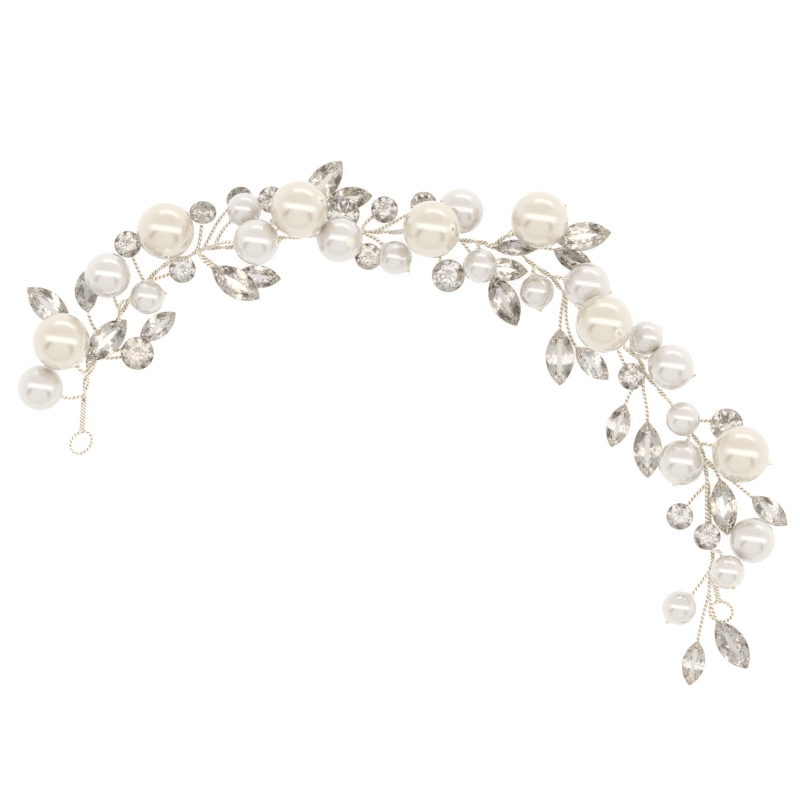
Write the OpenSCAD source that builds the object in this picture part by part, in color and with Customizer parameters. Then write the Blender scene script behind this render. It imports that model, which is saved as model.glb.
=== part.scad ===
/* [Vine] */
// Length of the vine across its beads, from which all places follow
vine_length = 134; // [130:1:150]

/* [Pearls] */
// Diameter of the large pearls
pearl_large_d = 10; // [9:0.1:10.3]
// Diameter of the medium pearls
pearl_medium_d = 8; // [7:0.1:8.3]
// Diameter of the small pearls
pearl_small_d = 6; // [5:0.1:6.3]
// Room in a pearl's hole round its wire, measured across
hole_room = 0.3; // [0.2:0.05:0.6]

/* [Stones] */
// Length of the large boat-shaped stones
navette_large_l = 10; // [8:0.1:10.4]
// Width of the large boat-shaped stones
navette_large_w = 5; // [4:0.1:5.3]
// Length of the small boat-shaped stones
navette_small_l = 8; // [7:0.1:8.4]
// Width of the small boat-shaped stones
navette_small_w = 4; // [3:0.1:4.3]
// Diameter of the large round stones
round_large_d = 5.8; // [5:0.1:6]
// Diameter of the small round stones
round_small_d = 4.7; // [4:0.1:5]

/* [Wire] */
// Width of the twisted trunk wire
trunk_wire_d = 0.9; // [0.7:0.05:1.1]
// Width of the twisted stem wires
stem_wire_d = 0.68; // [0.5:0.02:0.8]
// Length of wire that stands out where a pearl's hole goes right through
wire_tip = 0.5; // [0.2:0.1:0.8]
// Gap between pieces that lie against each other
seat_gap = 0.15; // [0.1:0.05:0.25]

/* [End loops] */
// Outer diameter of each end loop
loop_d = 4.4; // [4:0.1:6]
// Width of the wire in the end loops and their legs
loop_wire_d = 0.64; // [0.5:0.02:0.8]
// Width of the thin wire wrapped round each leg
wrap_wire_d = 0.2; // [0.15:0.01:0.3]

/* [Hidden] */
share = vine_length / 100;
wire_sides = 6;
curve_steps = 5;
trunk_steps_per_point = 2;
round_detail = 48;
hole_detail = 24;
bend_ball_sides = 8;
least_steps = 8;
// Length of a curve's handles, as a share of the distance it spans
curve_reach = 0.36;
// Length of the straight end of a stone's stem, in widths of the wire
straight_end = 2;
// Width of a loop's leg, as a share of the loop's wire
leg_share = 0.92;
// Depth of a blind hole past the middle of a pearl, as a share of its diameter
hole_reach = 0.2;

// Cut of the stones, as shares of their width or diameter
round_table = 0.56;
round_crown = 0.17;
round_back = 0.42;
round_point = 0.12;
navette_table = 0.55;
navette_crown = 0.2;
navette_back = 0.38;
navette_keel = 0.2;
girdle = 0.04;
cut_sides = 8;
table_steps = 4;
edge_steps = 8;
keel_steps = 2;

// Route of the trunk wire: across, along, height. Across and along are hundredths of the vine's
// length from its middle, the height is a share of the large pearl.
TRUNK = [
  [-41.5, 3, 0.12],
  [-41.3, 4.7, 0.15],
  [-40.9, 6.7, 0.18],
  [-39.8, 8.4, 0.2],
  [-38.8, 10.6, 0.15],
  [-37, 13.7, 0.15],
  [-35.2, 16.6, 0.15],
  [-33.4, 18.5, 0.2],
  [-30.6, 20.8, 0.3],
  [-28.1, 21.5, 0.36],
  [-26.7, 22.4, 0.36],
  [-24.7, 22.8, 0.3],
  [-21.6, 23, 0.2],
  [-18.9, 23.7, 0.2],
  [-16, 24.1, 0.2],
  [-12.7, 24.3, 0.2],
  [-9.5, 24.6, 0.2],
  [-5.5, 24.9, 0.25],
  [-0.3, 24.8, 0.3],
  [3.6, 24.3, 0.3],
  [7.5, 23.8, 0.3],
  [10, 23.6, 0.3],
  [11.7, 23.3, 0.3],
  [13, 24.1, 0.3],
  [14.6, 25.1, 0.25],
  [15.5, 23.8, 0.2],
  [15.7, 21.8, 0.2],
  [17.1, 20.5, 0.25],
  [19.3, 19, 0.25],
  [20.8, 17.2, 0.15],
  [23.2, 14.9, 0.1],
  [26, 12.5, 0.15],
  [29.1, 9.7, 0.25],
  [30.8, 8.1, 0.25],
  [31.7, 6.3, 0.2],
  [35, 2.4, 0.15],
  [36.3, 0.6, 0.15],
  [37.5, -1.2, 0.2],
  [38.8, -3.3, 0.25],
  [39.4, -6.3, 0.25],
  [39.8, -9.2, 0.12],
  [39.9, -12.9, 0.1],
  [40.2, -16.3, 0.1],
  [40.3, -17.4, 0.12],
  [40, -19.1, 0.15],
  [40.6, -20.6, 0.12]
];
// Points of the trunk's route at which one spray of wires ends and the next begins
SPRAY_ENDS = [0, 6.3, 12.5, 16.4, 19, 24.6, 31, 36, 45];

// Places of the pearls. Columns: across and along, as the trunk's; rise of the underside as a share of
// the large pearl; heading of the wire as it arrives, in degrees; pitch; 1 where the hole goes right
// through; root, the trunk point that the stem leaves; turn of its first stretch from the straight line.
LARGE_PEARLS = [
  [-44.3, 10.6, 0.25, 124, -12, 0, 2.5, 0],
  [-30.8, 25, 0, 95, -30, 0, 8.2, 0],
  [-13.4, 27.7, 0.6, 20, 36, 1, 15.2, 0],
  [3.7, 25.1, 0.6, 0, 44, 1, 17.8, 0],
  [17.7, 26.4, 0.3, 28, 15, 1, 24, 0],
  [26, 12.9, 0.6, -35, 53, 1, 30.2, 0],
  [43.8, -4, 0.25, -17, 10, 1, 37.8, 0]
];
MEDIUM_PEARLS = [
  [-47.1, 4.6, 0, 158, 20, 0, 0.4, 0],
  [-38.3, 19.2, 0.2, 105, 30, 0, 5.2, 0],
  [-19, 23.5, 0.56, 0, 20, 1, 10.2, 0],
  [-8.2, 23.8, 0.39, -10, 40, 0, 15, 0],
  [7.5, 27.6, 0, 35, 20, 0, 19.5, 0],
  [23.9, 17.9, 0.14, -16, 0, 1, 28, 0],
  [34.8, 7.3, 0.15, -20, 10, 1, 32.5, 0],
  [36.1, -5.1, 0.07, -107, 22, 1, 36.7, 0],
  [45.4, -15.2, 0.03, -28, 45, 0, 40.6, 0]
];
SMALL_PEARLS = [
  [-33.2, 16.4, 0.2, 10, 0, 1, 5, 0],
  [-20.6, 27.7, 0.27, 40, 20, 0, 11, 0],
  [-1, 21.5, 0.15, -46, 12, 1, 17, 0],
  [10, 20.4, 0.3, -55, 35, 0, 20, 0],
  [17.4, 17.1, 0, -80, 0, 1, 27, 0],
  [31.6, 11.1, 0, 35, 0, 1, 31.8, 0],
  [36.3, 0.6, 0.3, -53, 30, 0, 34.8, 0],
  [42.1, -19.3, 0.35, -70, 30, 1, 42.2, 0],
  [35.9, -24, 0, -132, 0, 1, 43.9, 0]
];
// Places of the stones, with the same columns, but for roll in the place of the hole's column
LARGE_NAVETTES = [
  [-46.1, 15.2, 0, 138, 0, 0, 3, 0],
  [-38.5, 10.8, 0.29, 45.6, 0, 0, 2.6, 0],
  [-21.7, 18.2, 0.18, -33, 0, 0, 10, 0],
  [-10.3, 31.3, 0, 50, 0, 0, 14.5, 0],
  [13.2, 15.9, 0.06, -64, 12, 0, 20.8, 0],
  [23.4, 24.3, 0.18, 8, 0, 0, 24.4, 0],
  [20.4, 8.6, 0, -90, 0, 0, 29.1, 0],
  [31.8, -3.4, 0, -90, 0, 0, 33.9, -25],
  [41.7, -10.9, 0.1, -82, 0, -20, 38.6, 0],
  [42.8, -28.8, 0.05, -57, -4, 0, 44, -14]
];
SMALL_NAVETTES = [
  [-41.2, 17.1, 0.08, 96, -22, 0, 4, -12],
  [-31.9, 12.6, 0, 38, 0, 0, 3.2, 0],
  [-18.8, 19.1, 0, -6, 0, 0, 9.9, 0],
  [-6.9, 29.3, 0, 7, 0, 0, 15.6, 0],
  [14.7, 22.8, 0.3, 0, 0, -45, 21.6, 0],
  [13.3, 20, 0.1, -5, 0, 0, 21, 0],
  [22.2, 21.3, 0.05, -27, -8, 20, 25.8, 0],
  [24.6, 7.8, 0, -45, 0, 0, 29.2, -8],
  [28, -0.3, 0, -108, 0, 0, 33.8, 0],
  [47.7, -11.4, 0, -39, 0, 0, 38.4, 0],
  [37.8, -31.2, 0, -101, 0, 0, 44.1, 10]
];
LARGE_ROUNDS = [
  [-34.5, 9.1, 0.1, 14, 0, 0, 3.1, 0],
  [-7.8, 27.2, 0.14, 65, 0, 0, 16, 0],
  [5.9, 19.2, 0, -60, 0, 0, 19.5, 0],
  [42.1, -0.2, 0, -15, 0, 0, 36.5, 0]
];
SMALL_ROUNDS = [
  [-35.8, 23.3, 0, 110, 0, 0, 6.9, 0],
  [-28.7, 20, 0, 20, 0, 0, 7, 0],
  [-26, 27.4, 0.1, 85, -31, 0, 10, 0],
  [-21.3, 29.2, 0, 40, 0, 30, 10.4, 0],
  [-17.1, 29.1, 0, 140, 0, 0, 13.5, 0],
  [-2.4, 27.8, 0, 30, 0, 0, 17, 0],
  [-4.5, 21.7, 0, -45, 0, 0, 16.8, 0],
  [2.7, 28.4, 0, 30, 0, 0, 17.3, -13],
  [29.7, 6.1, 0.12, -60, 0, 0, 31.4, 0],
  [36, -12.1, 0, -125, 0, 0, 39.5, 0],
  [39.5, -14.7, 0.2, -88, 0, 0, 39.2, 0]
];
// Places of the end loops' centres, as the trunk's
LEFT_LOOP = [-41.9, -2.5];
RIGHT_LOOP = [41.4, -24.5];

// Names of like pieces that are nodes of their own
function names(word, rows) = [for (i = [1:len(rows)]) str(word, "_", i)];

function unit(v) = v / norm(v);

// A row of the trunk's route as a place
function place(row) = [row[0] * share, row[1] * share, row[2] * pearl_large_d];

// Smooth curve through the trunk's points, at t counted in points
function trunk(t) =
  let (
    i = min(floor(t), len(TRUNK) - 2),
    u = t - i,
    a = place(TRUNK[max(i - 1, 0)]),
    b = place(TRUNK[i]),
    c = place(TRUNK[i + 1]),
    d = place(TRUNK[min(i + 2, len(TRUNK) - 1)])
  )
  b + (c - a) * u / 2 + (2 * a - 5 * b + 4 * c - d) * u * u / 2 + (3 * b - a - 3 * c + d) * u * u * u / 2;

// Centre of a bead whose underside is a depth below it
function centre(row, depth) = [row[0] * share, row[1] * share, row[2] * pearl_large_d + depth];

// A place in a bead's own frame, from its shares along the wire and upwards, turned by pitch and heading
function turned(row, forth, up) =
  let (
    flat = forth * cos(row[4]) - up * sin(row[4]),
    lift = forth * sin(row[4]) + up * cos(row[4])
  )
  [flat * cos(row[3]), flat * sin(row[3]), lift];

// Curve from a to b that leaves and arrives along given directions
function bend(a, out, b, along, steps) =
  let (
    reach = norm(b - a) * curve_reach,
    c = a + out * reach,
    d = b - along * reach
  )
  [
    for (i = [0:steps])
      let (u = i / steps, w = 1 - u)
      a * w * w * w + c * 3 * w * w * u + d * 3 * w * u * u + b * u * u * u
  ];

// Route of a bead's stem, from its root on the trunk to its first and last place at the bead
function stem(row, along, first, last) =
  let (
    root = trunk(row[6]),
    gap = first - root,
    out = [
      gap[0] * cos(row[7]) - gap[1] * sin(row[7]),
      gap[0] * sin(row[7]) + gap[1] * cos(row[7]),
      gap[2]
    ]
  )
  concat(bend(root, unit(out), first, along, curve_steps), [last]);

// Stem of a pearl: it runs in the hole, and stands out a little where the hole goes right through
function pearl_stem(row, d) =
  let (reach = row[5] == 1 ? d / 2 + wire_tip : d * hole_reach - seat_gap)
  stem(
    row,
    turned(row, 1, 0),
    centre(row, d / 2) - turned(row, d / 2 + stem_wire_d, 0),
    centre(row, d / 2) + turned(row, reach, 0)
  );

// Stem of a stone: its end lies flat under the edge of the stone, and arrives halfway between the
// stone's heading and the straight line from its root
function stone_stem(row, l, back) =
  let (
    last = centre(row, back) + turned(row, -l / 2 + seat_gap, -stem_wire_d / 2 - seat_gap * 3),
    gap = last - trunk(row[6]),
    along = unit([cos(row[3]), sin(row[3]), 0] + unit([gap[0], gap[1], 0]))
  )
  stem(row, along, last - along * stem_wire_d * straight_end, last);

// Ring of points round a wire
function ring(p, along, d) =
  let (
    side = unit(cross(along, [0, 0, 1])),
    top = cross(side, along)
  )
  [
    for (k = [0:wire_sides - 1])
      let (a = k * 360 / wire_sides)
      p + (side * cos(a) + top * sin(a)) * d / 2
  ];

// Wire of one width along a route
module wire(route, d) {
  n = len(route);
  rings = [
    for (i = [0:n - 1])
      each ring(route[i], unit(route[min(i + 1, n - 1)] - route[max(i - 1, 0)]), d)
  ];
  walls = [
    for (i = [0:n - 2], k = [0:wire_sides - 1])
      let (m = (k + 1) % wire_sides)
      [i * wire_sides + k, i * wire_sides + m, (i + 1) * wire_sides + m, (i + 1) * wire_sides + k]
  ];
  ends = [
    [for (k = [wire_sides - 1:-1:0]) k],
    [for (k = [0:wire_sides - 1]) (n - 1) * wire_sides + k]
  ];
  polyhedron(rings, concat(walls, ends));
}

// Place on the trunk where a spray begins, with a gap to the spray before it
function spray_first(k) =
  let (t = SPRAY_ENDS[k])
  k == 0 ? t : t + (trunk_wire_d + seat_gap) / norm(trunk(t + 0.5) - trunk(t - 0.5));

// Rows of a table whose stems leave one spray
function of_spray(rows, k) =
  [for (row = rows) if (row[6] >= SPRAY_ENDS[k] && row[6] < SPRAY_ENDS[k + 1]) row];

module spray_wire(k) {
  first = spray_first(k);
  span = SPRAY_ENDS[k + 1] - first;
  steps = max(least_steps, ceil(span * trunk_steps_per_point));
  color("tan") {
    for (i = [0:steps - 1]) {
      hull() {
        translate(trunk(first + span * i / steps)) sphere(d = trunk_wire_d, $fn = bend_ball_sides);
        translate(trunk(first + span * (i + 1) / steps)) sphere(d = trunk_wire_d, $fn = bend_ball_sides);
      }
    }
    for (row = of_spray(LARGE_PEARLS, k)) wire(pearl_stem(row, pearl_large_d), stem_wire_d);
    for (row = of_spray(MEDIUM_PEARLS, k)) wire(pearl_stem(row, pearl_medium_d), stem_wire_d);
    for (row = of_spray(SMALL_PEARLS, k)) wire(pearl_stem(row, pearl_small_d), stem_wire_d);
    for (row = of_spray(LARGE_NAVETTES, k))
      wire(stone_stem(row, navette_large_l, navette_large_w * navette_back), stem_wire_d);
    for (row = of_spray(SMALL_NAVETTES, k))
      wire(stone_stem(row, navette_small_l, navette_small_w * navette_back), stem_wire_d);
    for (row = of_spray(LARGE_ROUNDS, k))
      wire(stone_stem(row, round_large_d, round_large_d * round_back), stem_wire_d);
    for (row = of_spray(SMALL_ROUNDS, k))
      wire(stone_stem(row, round_small_d, round_small_d * round_back), stem_wire_d);
  }
}

module pearl(row, d, tint) {
  depth = row[5] == 1 ? d * 2 : d * (1 + hole_reach);
  color(tint) translate(centre(row, d / 2)) rotate([0, 0, row[3]]) rotate([0, 90 - row[4], 0])
    difference() {
      sphere(d = d, $fn = round_detail);
      translate([0, 0, -d]) cylinder(d = stem_wire_d + hole_room, h = depth, $fn = hole_detail);
    }
}

// Put a stone at its place and turn it to its wire
module at_row(row, back) {
  translate(centre(row, back)) rotate([0, 0, row[3]]) rotate([0, -row[4], 0])
    rotate([row[5], 0, 0]) children();
}

module round_stone(row, d) {
  color("gainsboro") at_row(row, d * round_back) {
    hull() {
      rotate(180 / cut_sides)
        linear_extrude(d * round_crown) circle(d = d * round_table, $fn = cut_sides);
      linear_extrude(d * girdle) circle(d = d, $fn = cut_sides * 2);
      translate([0, 0, -d * round_back])
        linear_extrude(d * girdle) circle(d = d * round_point, $fn = cut_sides);
    }
  }
}

// Half of a boat shape's outline, as a circle arc through its tips, in a number of steps
function boat_side(l, w, steps) =
  let (r = (l * l + w * w) / w / 4)
  [for (i = [0:steps - 1]) let (x = l / 2 - l * i / steps) [x, sqrt(r * r - x * x) - r + w / 2]];
function boat(l, w, steps) =
  let (side = boat_side(l, w, steps))
  concat(side, [for (p = side) -p]);

module navette(row, l, w) {
  color("gainsboro") at_row(row, w * navette_back) {
    hull() {
      linear_extrude(w * navette_crown) polygon(boat(l * navette_table, w * navette_table, table_steps));
      linear_extrude(w * girdle) polygon(boat(l, w, edge_steps));
      translate([0, 0, -w * navette_back])
        linear_extrude(w * girdle) polygon(boat(l * navette_table, w * navette_keel, keel_steps));
    }
  }
}

// A leg is a little thinner than its loop's wire, which it runs into, and the wrap clears it
leg_d = loop_wire_d * leg_share;
leg_bore = leg_d + seat_gap;

// Place of a loop's ring, as high as the wrap round its leg needs
function loop_place(at) = [at[0] * share, at[1] * share, leg_bore / 2 + wrap_wire_d];
function leg_foot(at, end) =
  let (c = loop_place(at))
  c + unit([end[0] - c[0], end[1] - c[1], 0]) * (loop_d - loop_wire_d) / 2;

module end_loop(at, end) {
  foot = leg_foot(at, end);
  leg = end - foot;
  length = norm(leg) - trunk_wire_d / 2 - seat_gap;
  color("tan") {
    translate(loop_place(at)) rotate_extrude($fn = round_detail)
      translate([(loop_d - loop_wire_d) / 2, 0]) circle(d = loop_wire_d, $fn = hole_detail);
    translate(foot) rotate([0, acos(leg[2] / norm(leg)), atan2(leg[1], leg[0])])
      cylinder(d = leg_d, h = length, $fn = hole_detail);
  }
}

module end_wrap(at, end) {
  foot = leg_foot(at, end);
  leg = end - foot;
  length = norm(leg) - trunk_wire_d - leg_bore;
  color("darkkhaki") translate(foot) rotate([0, acos(leg[2] / norm(leg)), atan2(leg[1], leg[0])])
    difference() {
      translate([0, 0, leg_bore]) cylinder(d = leg_bore + wrap_wire_d * 2, h = length, $fn = hole_detail);
      cylinder(d = leg_bore, h = norm(leg), $fn = hole_detail);
    }
}

for (i = [0:len(LARGE_PEARLS) - 1])
  pearl(LARGE_PEARLS[i], pearl_large_d, "antiquewhite");
for (i = [0:len(MEDIUM_PEARLS) - 1])
  pearl(MEDIUM_PEARLS[i], pearl_medium_d, "seashell");
for (i = [0:len(SMALL_PEARLS) - 1])
  pearl(SMALL_PEARLS[i], pearl_small_d, "seashell");
for (i = [0:len(LARGE_NAVETTES) - 1])
  navette(LARGE_NAVETTES[i], navette_large_l, navette_large_w);
for (row = SMALL_NAVETTES) navette(row, navette_small_l, navette_small_w);  // small_navettes
for (i = [0:len(LARGE_ROUNDS) - 1])
  round_stone(LARGE_ROUNDS[i], round_large_d);
for (row = SMALL_ROUNDS) round_stone(row, round_small_d);  // small_rounds
for (k = [0:len(SPRAY_ENDS) - 2])
  spray_wire(k);
end_loop(LEFT_LOOP, trunk(0));  // end_loop_left
end_loop(RIGHT_LOOP, trunk(len(TRUNK) - 1));  // end_loop_right
end_wrap(LEFT_LOOP, trunk(0));  // end_wrap_left
end_wrap(RIGHT_LOOP, trunk(len(TRUNK) - 1));  // end_wrap_right
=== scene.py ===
"""Looks of a bridal hair vine: lustrous pearls, foil-backed cut stones and twisted wires, as an add-on."""
import math
from typing import Callable, NamedTuple

import bpy
import numpy as np
from bpy.props import FloatProperty, FloatVectorProperty, PointerProperty
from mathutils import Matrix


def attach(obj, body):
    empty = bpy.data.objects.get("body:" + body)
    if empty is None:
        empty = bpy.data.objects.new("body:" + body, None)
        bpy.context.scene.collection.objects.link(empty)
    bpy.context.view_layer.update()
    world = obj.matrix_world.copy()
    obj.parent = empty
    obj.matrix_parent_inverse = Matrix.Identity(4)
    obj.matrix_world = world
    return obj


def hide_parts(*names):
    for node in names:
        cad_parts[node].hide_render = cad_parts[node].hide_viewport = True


bl_info = {
    "name": "Hair Vine",
    "version": (1, 0, 0),
    "blender": (4, 5, 0),
    "location": "3D View > Sidebar > Hair Vine",
    "description": "Dresses the solids of a hair vine with pearls, cut stones and twisted wires",
    "category": "Object",
}

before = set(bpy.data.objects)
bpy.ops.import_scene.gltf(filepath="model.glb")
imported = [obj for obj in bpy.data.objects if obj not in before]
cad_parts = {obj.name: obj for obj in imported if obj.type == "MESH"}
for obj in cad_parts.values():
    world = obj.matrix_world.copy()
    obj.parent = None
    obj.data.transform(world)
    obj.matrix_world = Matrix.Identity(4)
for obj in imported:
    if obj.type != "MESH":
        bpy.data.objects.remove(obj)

X, Y, Z = range(3)

# Places across and along are hundredths of the vine's length from its middle
HUNDREDTHS = 100

# Route of the trunk wire: across, along, height. Across and along are hundredths of the vine's length
# from its middle, the height is a share of the large pearl.
TRUNK = np.array([
    (-41.5, 3, 0.12), (-41.3, 4.7, 0.15), (-40.9, 6.7, 0.18), (-39.8, 8.4, 0.2), (-38.8, 10.6, 0.15),
    (-37, 13.7, 0.15), (-35.2, 16.6, 0.15), (-33.4, 18.5, 0.2), (-30.6, 20.8, 0.3), (-28.1, 21.5, 0.36),
    (-26.7, 22.4, 0.36), (-24.7, 22.8, 0.3), (-21.6, 23, 0.2), (-18.9, 23.7, 0.2), (-16, 24.1, 0.2),
    (-12.7, 24.3, 0.2), (-9.5, 24.6, 0.2), (-5.5, 24.9, 0.25), (-0.3, 24.8, 0.3), (3.6, 24.3, 0.3),
    (7.5, 23.8, 0.3), (10, 23.6, 0.3), (11.7, 23.3, 0.3), (13, 24.1, 0.3), (14.6, 25.1, 0.25),
    (15.5, 23.8, 0.2), (15.7, 21.8, 0.2), (17.1, 20.5, 0.25), (19.3, 19, 0.25), (20.8, 17.2, 0.15),
    (23.2, 14.9, 0.1), (26, 12.5, 0.15), (29.1, 9.7, 0.25), (30.8, 8.1, 0.25), (31.7, 6.3, 0.2),
    (35, 2.4, 0.15), (36.3, 0.6, 0.15), (37.5, -1.2, 0.2), (38.8, -3.3, 0.25), (39.4, -6.3, 0.25),
    (39.8, -9.2, 0.12), (39.9, -12.9, 0.1), (40.2, -16.3, 0.1), (40.3, -17.4, 0.12), (40, -19.1, 0.15),
    (40.6, -20.6, 0.12),
])
# Points of the trunk's route at which one spray of wires ends and the next begins
SPRAY_ENDS = (0, 6.3, 12.5, 16.4, 19, 24.6, 31, 36, 45)

# Places of the beads. Columns: across and along, as the trunk's; rise of the underside as a share of the
# large pearl; heading of the wire as it arrives, in degrees; pitch; for a pearl 1 where its hole goes
# right through, for a stone its roll; root, the trunk point that the stem leaves; turn of its first
# stretch from the straight line.
ACROSS, ALONG, RISE, HEADING, PITCH, THROUGH, ROOT, TURN = range(8)
ROLL = THROUGH
LARGE_PEARLS = (
    (-44.3, 10.6, 0.25, 124, -12, 0, 2.5, 0),
    (-30.8, 25, 0, 95, -30, 0, 8.2, 0),
    (-13.4, 27.7, 0.6, 20, 36, 1, 15.2, 0),
    (3.7, 25.1, 0.6, 0, 44, 1, 17.8, 0),
    (17.7, 26.4, 0.3, 28, 15, 1, 24, 0),
    (26, 12.9, 0.6, -35, 53, 1, 30.2, 0),
    (43.8, -4, 0.25, -17, 10, 1, 37.8, 0),
)
MEDIUM_PEARLS = (
    (-47.1, 4.6, 0, 158, 20, 0, 0.4, 0),
    (-38.3, 19.2, 0.2, 105, 30, 0, 5.2, 0),
    (-19, 23.5, 0.56, 0, 20, 1, 10.2, 0),
    (-8.2, 23.8, 0.39, -10, 40, 0, 15, 0),
    (7.5, 27.6, 0, 35, 20, 0, 19.5, 0),
    (23.9, 17.9, 0.14, -16, 0, 1, 28, 0),
    (34.8, 7.3, 0.15, -20, 10, 1, 32.5, 0),
    (36.1, -5.1, 0.07, -107, 22, 1, 36.7, 0),
    (45.4, -15.2, 0.03, -28, 45, 0, 40.6, 0),
)
SMALL_PEARLS = (
    (-33.2, 16.4, 0.2, 10, 0, 1, 5, 0),
    (-20.6, 27.7, 0.27, 40, 20, 0, 11, 0),
    (-1, 21.5, 0.15, -46, 12, 1, 17, 0),
    (10, 20.4, 0.3, -55, 35, 0, 20, 0),
    (17.4, 17.1, 0, -80, 0, 1, 27, 0),
    (31.6, 11.1, 0, 35, 0, 1, 31.8, 0),
    (36.3, 0.6, 0.3, -53, 30, 0, 34.8, 0),
    (42.1, -19.3, 0.35, -70, 30, 1, 42.2, 0),
    (35.9, -24, 0, -132, 0, 1, 43.9, 0),
)
LARGE_NAVETTES = (
    (-46.1, 15.2, 0, 138, 0, 0, 3, 0),
    (-38.5, 10.8, 0.29, 45.6, 0, 0, 2.6, 0),
    (-21.7, 18.2, 0.18, -33, 0, 0, 10, 0),
    (-10.3, 31.3, 0, 50, 0, 0, 14.5, 0),
    (13.2, 15.9, 0.06, -64, 12, 0, 20.8, 0),
    (23.4, 24.3, 0.18, 8, 0, 0, 24.4, 0),
    (20.4, 8.6, 0, -90, 0, 0, 29.1, 0),
    (31.8, -3.4, 0, -90, 0, 0, 33.9, -25),
    (41.7, -10.9, 0.1, -82, 0, -20, 38.6, 0),
    (42.8, -28.8, 0.05, -57, -4, 0, 44, -14),
)
SMALL_NAVETTES = (
    (-41.2, 17.1, 0.08, 96, -22, 0, 4, -12),
    (-31.9, 12.6, 0, 38, 0, 0, 3.2, 0),
    (-18.8, 19.1, 0, -6, 0, 0, 9.9, 0),
    (-6.9, 29.3, 0, 7, 0, 0, 15.6, 0),
    (14.7, 22.8, 0.3, 0, 0, -45, 21.6, 0),
    (13.3, 20, 0.1, -5, 0, 0, 21, 0),
    (22.2, 21.3, 0.05, -27, -8, 20, 25.8, 0),
    (24.6, 7.8, 0, -45, 0, 0, 29.2, -8),
    (28, -0.3, 0, -108, 0, 0, 33.8, 0),
    (47.7, -11.4, 0, -39, 0, 0, 38.4, 0),
    (37.8, -31.2, 0, -101, 0, 0, 44.1, 10),
)
LARGE_ROUNDS = (
    (-34.5, 9.1, 0.1, 14, 0, 0, 3.1, 0),
    (-7.8, 27.2, 0.14, 65, 0, 0, 16, 0),
    (5.9, 19.2, 0, -60, 0, 0, 19.5, 0),
    (42.1, -0.2, 0, -15, 0, 0, 36.5, 0),
)
SMALL_ROUNDS = (
    (-35.8, 23.3, 0, 110, 0, 0, 6.9, 0),
    (-28.7, 20, 0, 20, 0, 0, 7, 0),
    (-26, 27.4, 0.1, 85, -31, 0, 10, 0),
    (-21.3, 29.2, 0, 40, 0, 30, 10.4, 0),
    (-17.1, 29.1, 0, 140, 0, 0, 13.5, 0),
    (-2.4, 27.8, 0, 30, 0, 0, 17, 0),
    (-4.5, 21.7, 0, -45, 0, 0, 16.8, 0),
    (2.7, 28.4, 0, 30, 0, 0, 17.3, -13),
    (29.7, 6.1, 0.12, -60, 0, 0, 31.4, 0),
    (36, -12.1, 0, -125, 0, 0, 39.5, 0),
    (39.5, -14.7, 0.2, -88, 0, 0, 39.2, 0),
)
# Places of the end loops' centres, as the trunk's
LEFT_LOOP = (-41.9, -2.5)
RIGHT_LOOP = (41.4, -24.5)

# Trunk: width of its two twisted pairs and their distance from its middle, as shares of its width, with
# what the loose braid adds; point of the trunk at which the braid is loosest, and how far it reaches; and
# length of a pair's turn as a share of a stem's
PAIR_WIDTH = (0.28, 0.14)
PAIR_REACH = (0.22, 0.32)
BRAID_AT, BRAID_REACH = 1.5, 1.3
PAIR_TWIST = 0.8
# Part of a turn by which each stem, and each spray for each point of the trunk, is twisted on
STEM_PHASE, TRUNK_PHASE = 0.31, 0.37
# Two twisted strands: distance from their middle and radius, as shares of the width of both together,
# and points round each
STRAND_REACH, STRAND_RADIUS = 0.24, 0.27
STRAND_SIDES = 8
# Points along a strand in one turn, on the trunk's route between two of its points, and on a stem's; and
# fewest on any route
TURN_STEPS, ROUTE_STEPS, STEM_STEPS = 12, 12, 40
FEWEST_STEPS = 4

# Stems, as on the solids: reach of the curve's handles as a share of its span, straight end under a stone
# in widths of the stem, and depth of a closed hole as a share of the pearl
CURVE_REACH = 0.36
STRAIGHT_END = 2
HOLE_REACH = 0.2

# End loops: long and short half as shares of the radius, and heading of the long one; width of the leg as
# a share of the ring's; length of a turn as a share of a stem's; points round the ring and along the leg
LEFT_OVAL = (1.13, 0.87, 48)
RIGHT_OVAL = (1.07, 0.93, -12)
LEG_SHARE = 0.92
LOOP_TWIST = 0.9
RING_STEPS, LEG_STEPS = 200, 60
# Wires of a wrap, and points along each in one turn
WRAP_WIRES, COIL_STEPS = 4, 36

# Pearls: rounding of the hole's mouth as a share of the hole's radius, points of that rounding and of the
# ball's arc, and points round the ball
LIP_SHARE = 0.25
LIP_STEPS, BALL_STEPS, BALL_SIDES = 5, 56, 72

# Glue at the holes: reach as a share of the hole, height and depth as shares of the reach, and points of
# its dome and round it
GLUE_REACH, GLUE_HEIGHT, GLUE_SUNK = 0.95, 0.28, 0.25
GLUE_STEPS, GLUE_SIDES = 9, 24
# Pearls with one more drop of glue in view: heading and pitch of the drop, in degrees
GLUE_DROPS = {"pearl_large_1": (-40, 12), "pearl_large_2": (-84, 40), "pearl_medium_4": (-15, 60)}

# Stones: facets of each kind, height of the girdle as a share of the width, its upper edge as a share of
# its lower one, and points of the girdle in each of its half facets
CUTS = 8
GIRDLE = 0.04
RIM = 0.975
EDGE_STEPS = 4
# Numbers of the facets, of the crown as of the back: half facets first, then kites, stars and the table
# or keel. Some facets are always clear of painted dark reflections: the table, and half facets and kites
# round a navette's tips.
KITE, STAR, TABLE = CUTS * 2, CUTS * 3, CUTS * 4
TIPS = (0, 7, 8, 15, KITE, KITE + CUTS // 2)
# Painted dark reflections in the stones: lightness of the crown's other facets over the share of them that
# are duller, and share of the back's half facets whose foil is painted brown in place of a dark reflection
DRAWN = (0, 0.2, 0.28, 1)
PAINTED_FACET_LIGHTNESS = (0, 0.1, 0.75, 1)
PAINTED_DARK_SHARE = 0.08

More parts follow.
